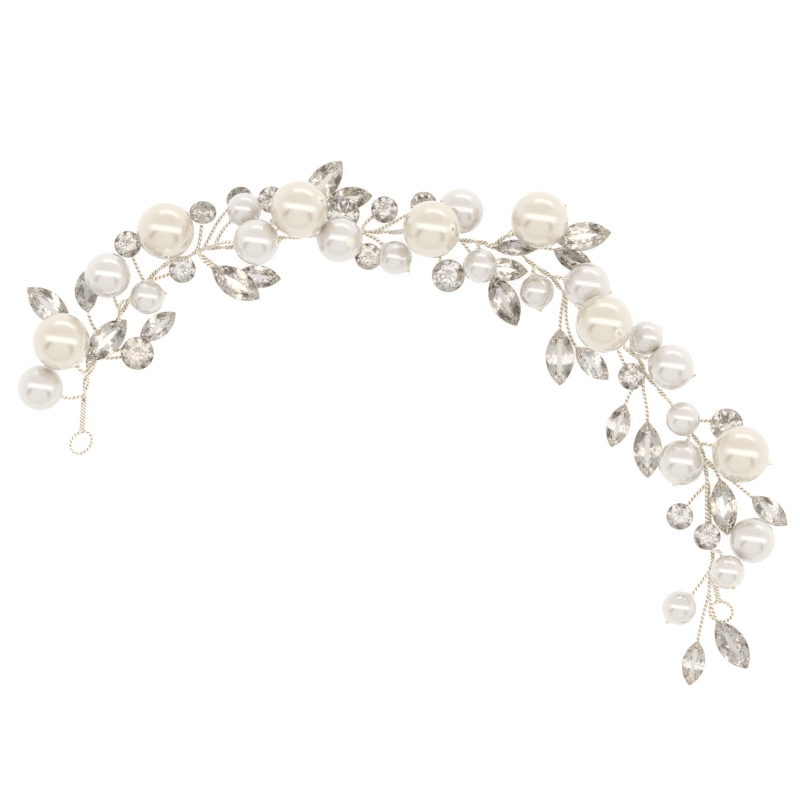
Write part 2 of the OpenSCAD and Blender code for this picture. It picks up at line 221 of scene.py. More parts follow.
# Finishes: scales of the drift and of the grain, in patches for each metre, and relief; and roughness from
# the least to the most grain, for the foil from outside to inside
PEARL_FINISH, PEARL_ROUGH = (260, 1500, 0.045), (0.12, 0.16)
GLUE_FINISH, GLUE_ROUGH = (700, 1500, 0.8), (0.05, 0.2)
GLASS_FINISH = (300, 900, 0.0)
FOIL_FINISH, FOIL_ROUGH = (850, 4000, 0.015), (0.22, 0.015)
WIRE_FINISH, WIRE_ROUGH = (900, 9000, 0.25), (0.3, 0.45)
CARD_FINISH = (2, 40, 0.0)
# Range that holds nearly all values of a noise
NOISE_RANGE = (0.3, 0.7)
# Paler places of the pearls and duller ones of the lacquer, as shares of their colour
PALER, DULLER = 1.07, 0.85
# How fast the painted shade darkens the wire into a hollow between strands, and how far its wear makes it
# lighter or darker
HOLLOW_SHADE_GAIN, WEAR = 2.0, (-0.4, 0.2)
# Champagne tint beside the clear one, and the drift over which the stones' tint goes from clear to it
CHAMPAGNE = (1.0, 0.93, 0.84)
CHAMPAGNE_DRIFT = (0.46, 0.6)

# Studio light, over the two coordinates of studio_world. Three numbers are a band's middle, half its full
# width and half the width at which it has faded out, a lean is its fall along x, and two numbers are where
# a ramp begins and is full. A loss is the part of the room's light that is gone.
STRIP_LEAN, STRIP_Y, STRIP_X = 0.14, (0.062, 0.035, 0.15), (0.03, 0.38, 0.68)
ARC_FAR, ARC_NORTH, ARC_X = (0.675, 0.035, 0.11), (0.2, 0.4), (0.13, 0.22, 0.42)
VEIL_Y, VEIL_X = (0.36, 0.08, 0.2), (0, 0.3, 0.55)
RIM_MIDDLE, RIM_HALF, RIM_BAND = (-0.07, -0.3), (0.44, 0.34), (1, 0.1, 0.27)
SIDES_LEAN, SIDES_Y, SIDES_X = 0.17, (-0.19, 0.08, 0.24), (0.2, 0.42)
ARC_GAIN = 0.9
VEIL_LOSS, RIM_LOSS, SIDES_LOSS = 0.18, 0.13, 0.53

# Half the floor's side, and height at which the camera's field is measured, in metres
FLOOR_HALF, BEADS_HEIGHT = 4.0, 0.005
# Bounces of light, enough for the stones
BOUNCES = 24


def length(name, default, description, low=0.0):
    return FloatProperty(name=name, default=default, min=low, unit="LENGTH", description=description)


def colour(name, default, description):
    return FloatVectorProperty(name=name, default=default, size=3, min=0, max=1, subtype="COLOR",
                               description=description)


class VineSizes(bpy.types.PropertyGroup):
    """Driving sizes of the vine, in metres, as on its solids."""
    vine_length: length("Vine length", 0.134, "Length across the beads, which all places follow")
    pearl_large_d: length("Large pearls", 0.010, "Diameter of the large pearls")
    pearl_medium_d: length("Medium pearls", 0.008, "Diameter of the medium pearls")
    pearl_small_d: length("Small pearls", 0.006, "Diameter of the small pearls")
    hole_room: length("Hole room", 0.0003, "Room in a pearl's hole round its wire")
    navette_large_l: length("Large navette length", 0.010, "Length of the large boat-shaped stones")
    navette_large_w: length("Large navette width", 0.005, "Width of the large boat-shaped stones")
    navette_small_l: length("Small navette length", 0.008, "Length of the small boat-shaped stones")
    navette_small_w: length("Small navette width", 0.004, "Width of the small boat-shaped stones")
    round_large_d: length("Large round stones", 0.0058, "Diameter of the large round stones")
    round_small_d: length("Small round stones", 0.0047, "Diameter of the small round stones")
    trunk_wire_d: length("Trunk wire", 0.0009, "Width of the twisted trunk wire")
    stem_wire_d: length("Stem wires", 0.00068, "Width of the twisted stem wires")
    wire_tip: length("Wire tip", 0.0005, "Wire that stands out of a hole that goes right through")
    seat_gap: length("Seat gap", 0.00015, "Gap between pieces that lie against each other")
    loop_d: length("Loops", 0.0044, "Outer diameter of each end loop")
    loop_wire_d: length("Loop wire", 0.00064, "Width of the twisted wire of the end loops")
    wrap_wire_d: length("Wrap wire", 0.0002, "Width of the thin wire wrapped round each loop's leg")
    stem_twist: length("Stem twist", 0.0015, "Length of wire in one turn of a stem's two strands")
    trunk_twist: length("Trunk twist", 0.006, "Length of wire in one turn of the trunk's two pairs")
    wrap_rise: length("Wrap rise", 0.0021, "Rise of one turn of a wrap's wires")


class VineColours(bpy.types.PropertyGroup):
    """Colours of the vine's finishes."""
    pearl_cream: colour("Large pearls", (0.69, 0.585, 0.435), "Body of the large pearls")
    pearl_white: colour("Smaller pearls", (0.685, 0.61, 0.525), "Body of the medium and small pearls")
    navette_crystal: colour("Navettes", (0.605, 0.587, 0.564), "Tint of the boat-shaped stones' crown")
    round_crystal: colour("Round stones", (0.53, 0.512, 0.49), "Tint of the round stones' crown")
    # Painted dark reflection: tint of the crown's duller facets
    crown_painted_dark: colour("Dark facets", (0.12, 0.094, 0.067), "Tint of the crown's dullest facets")
    foil_bright: colour("Foil, inside", (0.992, 0.986, 0.975), "Mirror foil as seen through the stones")
    # Painted dark reflection: brown of a few facets of the foil, in place of a reflection of dark
    # surroundings
    foil_painted_dark: colour("Foil, worn", (0.32, 0.27, 0.215), "Facets of the back whose foil is thin")
    foil_gold: colour("Foil, outside", (0.66, 0.57, 0.42), "Lacquered back of the stones")
    wire_light: colour("Wire", (0.98, 0.94, 0.85), "Champagne plating of the wires")
    # Painted shade: the wire's colour deep in the hollows between strands, where shade falls
    wire_hollow_shade: colour("Wire, hollows", (0.74, 0.65, 0.51), "Plating in the hollows of the twist")
    glue_dark: colour("Glue", (0.78, 0.70, 0.56), "Glue at the pearls' holes")
    glue_light: colour("Glue, pale", (0.9, 0.86, 0.76), "Paler places of the glue")


class VineStage(bpy.types.PropertyGroup):
    """Camera and light."""
    distance: length("Camera distance", 1.5, "Height of the camera over the beads", 0.2)
    field: length("Field", 0.13913, "Width of the field that the camera sees at the beads")
    centre_x: length("Centre across", -0.00052, "Middle of the picture, across", -1.0)
    centre_y: length("Centre along", 0.00408, "Middle of the picture, along", -1.0)
    room_light: FloatProperty(name="Room", default=1.0, min=0, description="Brightness of the white room")


def sizes():
    return bpy.context.scene.vine_sizes


def colours():
    return bpy.context.scene.vine_colours


# Directions and places

def unit(v):
    """Each row of v at length one."""
    return v / np.linalg.norm(v, axis=-1, keepdims=True)


def joined(*columns):
    """Columns side by side, each spread to the shape of them all."""
    return np.stack(np.broadcast_arrays(*columns), axis=-1)


def wave(turns):
    """Cosine and sine of an angle counted in turns, as two columns."""
    return np.cos(2 * np.pi * turns)[..., None], np.sin(2 * np.pi * turns)[..., None]


def turn_about(axis, angle):
    """Matrix of a turn about one of the three axes, in radians."""
    i, j = (axis + 1) % 3, (axis + 2) % 3
    matrix = np.eye(3)
    matrix[i, i] = matrix[j, j] = math.cos(angle)
    matrix[j, i] = math.sin(angle)
    matrix[i, j] = -math.sin(angle)
    return matrix


def bead_turn(row):
    """Turn of a bead's own frame, whose x runs along its wire: by its pitch, then by its heading."""
    return turn_about(Z, math.radians(row[HEADING])) @ turn_about(Y, -math.radians(row[PITCH]))


def stone_turn(row):
    """Turn of a stone: by its roll about its wire, then as a bead."""
    return bead_turn(row) @ turn_about(X, math.radians(row[ROLL]))


def aimed(points, heading, pitch):
    """Points whose z axis turns to a heading and pitch, in degrees."""
    turn = turn_about(Z, math.radians(heading)) @ turn_about(Y, math.radians(90 - pitch))
    return points @ turn.T


def place(row, height):
    """Place of a row of the tables, at a height in metres."""
    across, along = (row[k] * sizes().vine_length / HUNDREDTHS for k in (ACROSS, ALONG))
    return np.array((across, along, height))


def centre(row, depth):
    """Centre of a bead whose underside is a depth below it."""
    return place(row, row[RISE] * sizes().pearl_large_d + depth)


# Routes of the wires

def trunk_at(t):
    """The trunk's route at t, counted in its points: on each stretch the cubic through both its ends,
    whose slope at an end is half the step between that end's two neighbours."""
    s = sizes()
    points = TRUNK * (s.vine_length / HUNDREDTHS, s.vine_length / HUNDREDTHS, s.pearl_large_d)
    t = np.asarray(t, float)
    i = np.clip(np.floor(t).astype(int), 0, len(points) - 2)
    u = (t - i)[..., None]
    a, b, c, d = (points[np.clip(i + k, 0, len(points) - 1)] for k in (-1, 0, 1, 2))
    square = (2 * a - 5 * b + 4 * c - d) * u ** 2
    cube = (3 * b - a - 3 * c + d) * u ** 3
    return b + (c - a) * u / 2 + square / 2 + cube / 2


def stem_route(row, along, first, last):
    """Cubic curve from the root on the trunk to the first place at the bead, and on straight to the last.
    Its handles are a share of the distance, one along the turned straight line and one along the wire."""
    root = trunk_at(row[ROOT])
    gap = first - root
    reach = np.linalg.norm(gap) * CURVE_REACH
    leaving = root + unit(turn_about(Z, math.radians(row[TURN])) @ gap) * reach
    arriving = first - along * reach
    u = np.linspace(0, 1, STEM_STEPS)[:, None]
    w = 1 - u
    curve = root * w ** 3 + leaving * 3 * w * w * u + arriving * 3 * w * u * u + first * u ** 3
    return np.vstack((curve, last))


def pearl_stem(row, d):
    """Stem of a pearl: it runs in the hole, and stands out a little where the hole goes right through."""
    s = sizes()
    reach = d / 2 + s.wire_tip if row[THROUGH] == 1 else d * HOLE_REACH - s.seat_gap
    middle = centre(row, d / 2)
    along = bead_turn(row)[:, X]
    return stem_route(row, along, middle - along * (d / 2 + s.stem_wire_d), middle + along * reach)


def stone_stem(row, l, back):
    """Stem of a stone: its end lies flat under the edge, and arrives halfway between the stone's heading
    and the straight line from its root."""
    s = sizes()
    under = s.stem_wire_d / 2 + s.seat_gap * 3
    last = centre(row, back) + bead_turn(row) @ (-l / 2 + s.seat_gap, 0, -under)
    gap = last - trunk_at(row[ROOT])
    heading = math.radians(row[HEADING])
    along = unit(np.array((math.cos(heading), math.sin(heading), 0)) + unit(gap * (1, 1, 0)))
    return stem_route(row, along, last - along * s.stem_wire_d * STRAIGHT_END, last)


def stems():
    """Row and route of each stem, the pearls' first."""
    s = sizes()
    pearls = (
        (LARGE_PEARLS, s.pearl_large_d),
        (MEDIUM_PEARLS, s.pearl_medium_d),
        (SMALL_PEARLS, s.pearl_small_d),
    )
    stones = (
        (LARGE_NAVETTES, s.navette_large_l, s.navette_large_w * NAVETTE.back),
        (SMALL_NAVETTES, s.navette_small_l, s.navette_small_w * NAVETTE.back),
        (LARGE_ROUNDS, s.round_large_d, s.round_large_d * ROUND.back),
        (SMALL_ROUNDS, s.round_small_d, s.round_small_d * ROUND.back),
    )
    routes = [(row, pearl_stem(row, d)) for rows, d in pearls for row in rows]
    return routes + [(row, stone_stem(row, l, back)) for rows, l, back in stones for row in rows]


def evenly(route, step):
    """The route's points at even distances along it, and those distances from its start."""
    run = np.concatenate(((0,), np.cumsum(np.linalg.norm(np.diff(route, axis=0), axis=1))))
    at = np.linspace(0, run[-1], max(FEWEST_STEPS, round(run[-1] / step)))
    return joined(*(np.interp(at, run, column) for column in route.T)), at


def across_route(route):
    """Two directions across a route: level, from its own direction crossed with straight up, and upwards,
    from that level one crossed with its own."""
    along = unit(np.gradient(route, axis=0))
    sideways = unit(np.cross(along, (0, 0, 1)))
    return sideways, np.cross(sideways, along)


def loop_round(shape, angle):
    """Points of an oval at angles from its middle, level, where the radius of a round one is 1: the
    product of its halves over the root of the summed squares of short times cosine and long times sine."""
    long, short, heading = shape
    turn = angle - math.radians(heading)
    r = long * short / np.hypot(short * np.cos(turn), long * np.sin(turn))
    return joined(r * np.cos(angle), r * np.sin(angle), 0)


# Surfaces of wires and beads: each is points, quads and triangles

def strand(route, sideways, upwards, windings, radius):
    """Round wire that winds about a route: its middle is the route plus, for each winding, a radius turned
    through an angle across the route. Both ends are closed to a point in the end's middle."""
    middle = route.copy()
    for reach, turns in windings:
        c, s = wave(turns)
        outward = sideways * c + upwards * s
        middle = middle + outward * np.reshape(reach, (-1, 1))
    along = unit(np.gradient(middle, axis=0))
    outward = unit(outward - along * np.sum(outward * along, axis=1, keepdims=True))
    across = np.cross(along, outward)
    sides = STRAND_SIDES
    c, s = wave(np.arange(sides) / sides)
    rings = middle[:, None] + (outward[:, None] * c + across[:, None] * s) * np.reshape(radius, (-1, 1, 1))
    n = len(route)
    points = np.vstack((rings.reshape(-1, 3), middle[:1], middle[-1:]))
    i = np.arange(n - 1)[:, None] * sides
    k = np.arange(sides)
    m = (k + 1) % sides
    last = (n - 1) * sides
    quads = joined(i + k, i + m, i + sides + m, i + sides + k).reshape(-1, 4)
    return points, quads, np.vstack((joined(n * sides, m, k), joined(n * sides + 1, last + k, last + m)))


def twisted(route, width, twist, phase=0.0):
    """Two strands that wind about a route half a turn apart, each a little more than half as wide as the
    whole, since they press into each other."""
    points, run = evenly(route, twist / TURN_STEPS)
    sideways, upwards = across_route(points)
    reach, radius = width * STRAND_REACH, width * STRAND_RADIUS
    return [strand(points, sideways, upwards, [(reach, run / twist + phase + k / 2)], radius) for k in (0, 1)]


def trunk_strands(t0, t1):
    """The trunk between two of its points: two twisted pairs that wind slowly about each other. Near the
    left end the pairs stand further apart, as a loose braid."""
    s = sizes()
    route = trunk_at(np.linspace(t0, t1, int((t1 - t0) * ROUTE_STEPS) + 2))
    route, run = evenly(route, s.stem_twist / TURN_STEPS)
    sideways, upwards = across_route(route)
    braid = np.clip(1 - np.abs(np.linspace(t0, t1, len(route)) - BRAID_AT) / BRAID_REACH, 0, 1)
    thin = s.trunk_wire_d * (PAIR_WIDTH[0] + PAIR_WIDTH[1] * braid)
    loose = s.trunk_wire_d * (PAIR_REACH[0] + PAIR_REACH[1] * braid)
    slow = run / s.trunk_twist + t0 * TRUNK_PHASE
    quick = run / (s.stem_twist * PAIR_TWIST)
    parts = []
    for pair in (0, 1):
        for k in (0, 1):
            windings = [(loose, slow + pair / 2), (thin / 2, quick + k / 2 + pair / 4)]
            parts.append(strand(route, sideways, upwards, windings, thin / 2))
    return parts


def lathe(radii, heights, sides):
    """Profile turned about the z axis: its radii times the cosine and sine of the turn, at its heights. A
    radius of zero at either end is one point."""
    n = len(radii)
    c, s = wave(np.arange(sides) / sides)
    rings = joined(radii[:, None] * c[:, 0], radii[:, None] * s[:, 0], heights[:, None])
    keep = radii > 0
    start = np.concatenate(((0,), np.cumsum(np.where(keep, sides, 1))))
    points = np.vstack([rings[i] if keep[i] else rings[i, :1] for i in range(n)])
    quads, tris = [], []
    k = np.arange(sides)
    m = (k + 1) % sides
    for i in range(n - 1):
        a, b = start[i], start[i + 1]
        if keep[i] and keep[i + 1]:
            quads.append(joined(a + k, a + m, b + m, b + k))
        elif keep[i]:
            tris.append(joined(a + k, a + m, b))
        else:
            tris.append(joined(a, b + m, b + k))
    return points, np.vstack(quads), np.vstack(tris) if tris else np.zeros((0, 3), int)


def drilled_ball(d, hole, depth):
    """Ball with a hole along z from below, which ends at a depth or, where that is None, goes through.
    Its profile is the ball's arc, a quarter circle at each mouth, and the wall of the hole."""
    r, h = d / 2, hole / 2
    lip = h * LIP_SHARE
    edge = math.asin((h + lip) / r)
    through = depth is None
    arc = np.linspace(math.pi - edge, edge if through else 0, BALL_STEPS)
    ball_r, ball_z = r * np.sin(arc), r * np.cos(arc)
    turn = np.linspace(0, 1, LIP_STEPS)[1:]
    mouth = math.sqrt(r * r - (h + lip) ** 2)
    down_r = h + lip * (1 - np.sin(turn * math.pi / 2))
    down_z = mouth - lip * (1 - np.cos(turn * math.pi / 2))
    if through:
        radii = np.concatenate((ball_r, down_r, down_r[::-1], ball_r[:1]))
        heights = np.concatenate((ball_z, down_z, -down_z[::-1], ball_z[:1]))
    else:
        ball_r[-1] = 0
        radii = np.concatenate(((0, h), down_r[::-1], ball_r))
        heights = np.concatenate(((depth, depth), -down_z[::-1], ball_z))
    return lathe(radii, heights, BALL_SIDES)


def glue_drop(d, reach, wire_r):
    """Drop of glue on top of a ball: its height over the ball grows from none at its reach as a quarter
    sine. It leaves room for a wire in its middle, or closes over it where the wire's radius is zero."""
    r = d / 2
    part = np.linspace(0, 1, GLUE_STEPS)
    dome_r = reach + (wire_r - reach) * part
    dome_z = np.sqrt(r * r - dome_r ** 2) + reach * GLUE_HEIGHT * np.sin(part * math.pi / 2)
    sunk = math.sqrt(r * r - reach ** 2) - reach * GLUE_SUNK
    if wire_r:
        radii = np.concatenate((dome_r, (wire_r, reach, reach)))
        heights = np.concatenate((dome_z, (sunk, sunk, dome_z[0])))
    else:
        dome_r[-1] = 0
        radii = np.concatenate(((0, reach), dome_r))
        heights = np.concatenate(((sunk, sunk), dome_z))
    return lathe(radii, heights, GLUE_SIDES)


# Cut stones

def boat(u, l, w):
    """Boat-shaped outline at u, which runs from 0 at one tip through 1 at the other to 2: a circle arc
    through both tips, whose middle stands half the width out, and its mirror image."""
    r = (l * l + w * w) / w / 4
    part = u % 1
    x = l / 2 - l * part
    y = np.sqrt(r * r - x * x) - r + w / 2
    sign = np.where(u % 2 < 1, 1.0, -1.0)
    return x * sign, y * sign


def oval(u, l, w):
    """Elliptic outline at u, from 0 to 2: half the length times the cosine and half the width times the
    sine of u half turns and half a cut more, so that a facet faces along x."""
    angle = np.pi * (u + 1 / CUTS)
    return l / 2 * np.cos(angle), w / 2 * np.sin(angle)


class Cut(NamedTuple):
    """How a stone is cut. Rings are shares of its length and width, and heights are shares of its width."""
    outline: Callable
    table: float
    crown: float
    upper: tuple    # ring between table and girdle: share, height
    lower: tuple    # ring between girdle and keel: share of the length, of the width, depth
    keel: tuple     # share of the length, of the width
    back: float
    clear: tuple    # numbers of the facets that are always clear


NAVETTE = Cut(boat, 0.55, 0.2, (0.8, 0.125), (0.8, 0.62, 0.2), (0.55, 0.2), 0.38, (TABLE, *TIPS))
ROUND = Cut(oval, 0.56, 0.17, (0.8, 0.118), (0.6, 0.6, 0.215), (0.12, 0.12), 0.42, (TABLE,))


def cut_stone(cut, l, w):
    """Brilliant cut over any outline. Rings, from the top: table, upper middle, both edges of the girdle,
    lower middle, and keel or point. Between them lie stars, kites and girdle halves. Crown is glass, girdle
    and back are foil. Gives points, quads of the girdle, triangles of crown and back, and their facets."""
    even = np.arange(CUTS) * 2 / CUTS
    odd = even + 1 / CUTS
    edge = CUTS * 2 * EDGE_STEPS
    j = np.arange(edge)
    half = j // EDGE_STEPS
    half_end = (half + 1) % (CUTS * 2)

    def level(u, share_l, share_w, z):
        return joined(*cut.outline(u, l * share_l, w * share_w), z)

    def scalloped(share, z, middle):
        """Edge of the girdle, where each point lies in the plane of its half facet."""
        corner = level(np.arange(CUTS * 2) / CUTS, share, share, z)
        ring = level(j / EDGE_STEPS / CUTS, share, share, z)
        own = middle[half // 2]
        across = np.cross(corner[half] - own, corner[half_end] - own)
        ring[:, Z] = own[:, Z] - np.sum((across * (ring - own))[:, :Z], axis=1) / across[:, Z]
        return ring

    top = level(even, cut.table, cut.table, cut.crown * w)
    up = level(odd, cut.upper[0], cut.upper[0], cut.upper[1] * w)
    down = level(odd, cut.lower[0], cut.lower[1], -cut.lower[2] * w)
    keel = level(even, *cut.keel, -cut.back * w)
    middles = ((0, 0, cut.crown * w), (0, 0, -cut.back * w))
    points = np.vstack((top, up, scalloped(RIM, GIRDLE * w, up), scalloped(1, 0, down), down, keel, middles))
    t, m, g, e, p, q = np.cumsum((0, CUTS, CUTS, edge, edge, CUTS))
    k = np.arange(CUTS)
    n = (k + 1) % CUTS
    i = (j + 1) % edge
    corner = 2 * EDGE_STEPS
    top_mid, low_mid = len(points) - 2, len(points) - 1
    glass = np.vstack((
        joined(top_mid, t + k, t + n),
        joined(t + k, m + k, t + n),
        joined(t + n, m + k, g + corner * n),
        joined(t + k, g + corner * k, m + k),
        joined(m + half // 2, g + j, g + i),
    ))
    foil = np.vstack((
        joined(p + half // 2, e + i, e + j),
        joined(q + k, p + k, e + corner * k),
        joined(q + n, e + corner * n, p + k),
        joined(q + k, q + n, p + k),
        joined(low_mid, q + n, q + k),
    ))
    band = joined(g + j, e + j, e + i, g + i)
    flat = np.full(CUTS, TABLE)
    glass_facet = np.concatenate((flat, STAR + k, KITE + n, KITE + k, half))
    foil_facet = np.concatenate((half, KITE + k, KITE + n, STAR + k, flat))
    return points, band, glass, foil, glass_facet, foil_facet


# Pieces

def build(name, parts, materials, node_names):
    """Object from parts, each of which is points, quads and their slots, triangles and theirs, and whether
    it is smooth. It rides on the root body and stands for its solids."""
    points, faces, counts, slots, smooth, offset = [], [], [], [], [], 0
    for part_points, quads, quad_slot, tris, tri_slot, is_smooth in parts:
        points.append(part_points)
        for made, corners, which in ((quads, 4, quad_slot), (tris, 3, tri_slot)):
            if len(made):
                faces.append((made + offset).ravel())
                counts.append(np.full(len(made), corners))
                slots.append(np.broadcast_to(which, len(made)))
                smooth.append(np.full(len(made), is_smooth))
        offset += len(part_points)
    points, faces, counts = np.vstack(points), np.concatenate(faces), np.concatenate(counts)
    mesh = bpy.data.meshes.new(name)
    mesh.vertices.add(len(points))
    mesh.vertices.foreach_set("co", points.astype(np.float32).ravel())
    mesh.loops.add(len(faces))
    mesh.loops.foreach_set("vertex_index", faces.astype(np.int32))
    mesh.polygons.add(len(counts))
    mesh.polygons.foreach_set("loop_start", np.concatenate(((0,), np.cumsum(counts)[:-1])).astype(np.int32))
    mesh.polygons.foreach_set("material_index", np.concatenate(slots).astype(np.int32))
    mesh.polygons.foreach_set("use_smooth", np.concatenate(smooth))
    mesh.update(calc_edges=True)
    if mesh.validate():
        raise RuntimeError(f"{name}: its mesh had faults")
    for material in materials:
        mesh.materials.append(material)
    piece = bpy.data.objects.new(name, mesh)
    bpy.context.scene.collection.objects.link(piece)
    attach(piece, "root")
    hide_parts(*node_names)
    return piece


def mark(piece, name, domain, values):
    """Attribute of a piece, from arrays that hold a value for each of its points or faces."""
    made = piece.data.attributes.new(name, "FLOAT", domain)
    made.data.foreach_set("value", np.concatenate(values).astype(np.float32))


def build_wires(name, strands, node):
    """Wire piece from strands. An attribute says how deep each point lies in the hollow between strands, and
    the wire material paints shade from it:
    half of 1 less the cosine of its angle round the strand, from outward, and a half at both ends."""
    parts = [(points, quads, 0, tris, 0, True) for points, quads, tris in strands]
    piece = build(name, parts, [wire()], [node])
    # Depth in the hollow round each strand, which the wire material turns into painted shade
    ring = (1 - wave(np.arange(STRAND_SIDES) / STRAND_SIDES)[0][:, 0]) / 2
    depths = []
    for points, quads, tris in strands:
        depths += [np.tile(ring, (len(points) - 2) // STRAND_SIDES), (0.5, 0.5)]
    mark(piece, "hollow", "POINT", depths)


def build_stones(name, rows, cut, size, materials, node):
    """Piece from one stone for each row, with glass in slot 0 and foil in slot 1. An attribute says how
    clear each facet of the crown is, and which few half facets of the back are brown: painted dark
    reflections in the facets. Both are drawn at random for each stone, but for the facets that are always
    clear."""
    shape_points, band, glass, foil, glass_facet, foil_facet = cut_stone(cut, *size)
    tris = np.vstack((glass, foil))
    tri_slots = np.concatenate((np.zeros(len(glass), int), np.ones(len(foil), int)))
    parts, shades = [], []
    for row in rows:
        points = shape_points @ stone_turn(row).T + centre(row, size[1] * cut.back)
        parts.append((points, band, 1, tris, tri_slots, False))
        # The seed is the place across in thousandths of the vine's length, and above zero
        drawn = np.random.default_rng(round(row[ACROSS] * 10 + 1000)).random((2, TABLE + 1))
        drawn[:, cut.clear] = 1
        drawn[1, KITE:] = 1
        # Painted dark reflections: duller crown facets and a few brown back facets, drawn at random
        crown = np.interp(drawn[0], DRAWN, PAINTED_FACET_LIGHTNESS)[glass_facet]
        back = (drawn[1] > PAINTED_DARK_SHARE)[foil_facet]
        shades += [np.ones(len(band)), crown, back]
    piece = build(name, parts, materials, [node])
    mark(piece, "shade", "FACE", shades)


# Materials and light

class Recipe:
    """Steps in a node tree: each adds a node and gives its output. Values are constants or sockets."""

    def __init__(self, tree):
        self.nodes, self.links = tree.nodes, tree.links

    def put(self, value, socket):
        """Link another socket to a socket, or else set it to a constant."""
        if isinstance(value, bpy.types.NodeSocket):
            self.links.new(value, socket)
        else:
            socket.default_value = value

    def math(self, operation, *values, kind="ShaderNodeMath"):
        node = self.nodes.new(kind)
        node.operation = operation
        for value, socket in zip(values, node.inputs):
            self.put(value, socket)
        return node.outputs[0]

    def add(self, a, b):
        return self.math("ADD", a, b)

    def sub(self, a, b):
        return self.math("SUBTRACT", a, b)

    def mul(self, a, b):
        return self.math("MULTIPLY", a, b)

    def ranged(self, value, given, wanted, course="LINEAR"):
        """Value whose given range is stretched to the wanted one, and which stays inside it."""
        node = self.nodes.new("ShaderNodeMapRange")
        node.interpolation_type = course
        self.put(value, node.inputs["Value"])
        for key, number in zip(("From Min", "From Max", "To Min", "To Max"), (*given, *wanted)):
            node.inputs[key].default_value = number
        return node.outputs["Result"]

    def ramp(self, value, low, high):
        """From 0 at low to 1 at high, smoothly."""
        return self.ranged(value, (low, high), (0, 1), "SMOOTHSTEP")

    def band(self, value, middle, full, gone):
        """1 where the value is within full of the middle, 0 past gone."""
        return self.sub(1, self.ramp(self.math("ABSOLUTE", self.sub(value, middle)), full, gone))

    def reach(self, x, y, middle, half):
        """Distance from the middle of an ellipse, which is 1 on its rim."""
        across = self.math("DIVIDE", self.sub(x, middle[0]), half[0])
        along = self.math("DIVIDE", self.sub(y, middle[1]), half[1])
        return self.math("SQRT", self.add(self.mul(across, across), self.mul(along, along)))

    def blended(self, factor, first, second):
        """Colour that goes from the first to the second with a factor."""
        mix = self.nodes.new("ShaderNodeMix")
        mix.data_type = "RGBA"
        for value, socket in zip((first, second), (s for s in mix.inputs if s.type == "RGBA")):
            self.put(value if isinstance(value, bpy.types.NodeSocket) else (*value, 1), socket)
        self.put(factor, mix.inputs["Factor"])
        return next(s for s in mix.outputs if s.type == "RGBA")

    def attribute(self, name):
        """Value of one of the pieces' own attributes."""
        node = self.nodes.new("ShaderNodeAttribute")
        node.attribute_name = name
        return node.outputs["Fac"]

    def finish(self, drift_scale, grain_scale, relief):
        """Drift, grain and normal of the shared group, from its two scales and relief."""
        node = self.nodes.new("ShaderNodeGroup")
        node.node_tree = finish_group()
        for value, socket in zip((drift_scale, grain_scale, relief), node.inputs):
            socket.default_value = value
        return node.outputs


def finish_group():
    """Group that puts out a slow drift and a fine grain over Object coordinates, both from 0 to 1, and a
    normal roughened by the grain."""
    name = "surface drift and grain"
    if name in bpy.data.node_groups:
        return bpy.data.node_groups[name]
    group = bpy.data.node_groups.new(name, "ShaderNodeTree")
    for label, default in (("Drift Scale", 200.0), ("Grain Scale", 3000.0), ("Relief", 0.1)):
        socket = group.interface.new_socket(label, in_out="INPUT", socket_type="NodeSocketFloat")
        socket.default_value = default
    for label, kind in (("Drift", "Float"), ("Grain", "Float"), ("Normal", "Vector")):
        group.interface.new_socket(label, in_out="OUTPUT", socket_type=f"NodeSocket{kind}")
    nodes, links = group.nodes, group.links
    given, made = nodes.new("NodeGroupInput"), nodes.new("NodeGroupOutput")
    where = nodes.new("ShaderNodeTexCoord")
    for label, detail in (("Drift", 2), ("Grain", 3)):
        noise = nodes.new("ShaderNodeTexNoise")
        noise.inputs["Detail"].default_value = detail
        links.new(where.outputs["Object"], noise.inputs["Vector"])
        links.new(given.outputs[f"{label} Scale"], noise.inputs["Scale"])
        links.new(noise.outputs["Fac"], made.inputs[label])
    bump = nodes.new("ShaderNodeBump")
    bump.inputs["Distance"].default_value = 0.00002
    links.new(given.outputs["Relief"], bump.inputs["Strength"])
    links.new(noise.outputs["Fac"], bump.inputs["Height"])
    links.new(bump.outputs["Normal"], made.inputs["Normal"])
    return group


def new_material(name, constants):
    """Material with a Principled shader that has these constants, the shader's inputs, and its recipe."""
    material = bpy.data.materials.new(name)
    material.use_nodes = True
    nodes = material.node_tree.nodes
    nodes.clear()
    f = Recipe(material.node_tree)
    shader = nodes.new("ShaderNodeBsdfPrincipled")
    f.put(shader.outputs["BSDF"], nodes.new("ShaderNodeOutputMaterial").inputs["Surface"])
    for key, value in constants.items():
        shader.inputs[key].default_value = value
    return material, shader.inputs, f


def drifting(name, finish, first, second, rough, constants):
    """Material whose colour drifts from the first to the second, and whose roughness and normal follow the
    grain."""
    material, shader, f = new_material(name, constants)
    drift, grain, normal = f.finish(*finish)
    f.put(f.blended(drift, first, second), shader["Base Color"])
    f.put(f.ranged(grain, NOISE_RANGE, rough), shader["Roughness"])
    f.put(normal, shader["Normal"])
    return material


def pearl_material(name, body):
    """Lacquered pearl: creamy body that drifts a little in colour, under a bright, soft lustre and a
    sharp clear coat."""
    paler = tuple(min(1, c * PALER) for c in body)
    return drifting(name, PEARL_FINISH, body, paler, PEARL_ROUGH, {
        "IOR": 3.4,
        "Specular Tint": (0.75, 0.81, 0.86, 1),
        "Coat Weight": 1.0,
        "Coat Roughness": 0.04,
        "Coat IOR": 1.65,
    })


def glue_material(name, dark, light):
    """Golden glue, paler in places, with an uneven skin."""
    return drifting(name, GLUE_FINISH, dark, light, GLUE_ROUGH, {"IOR": 1.6})


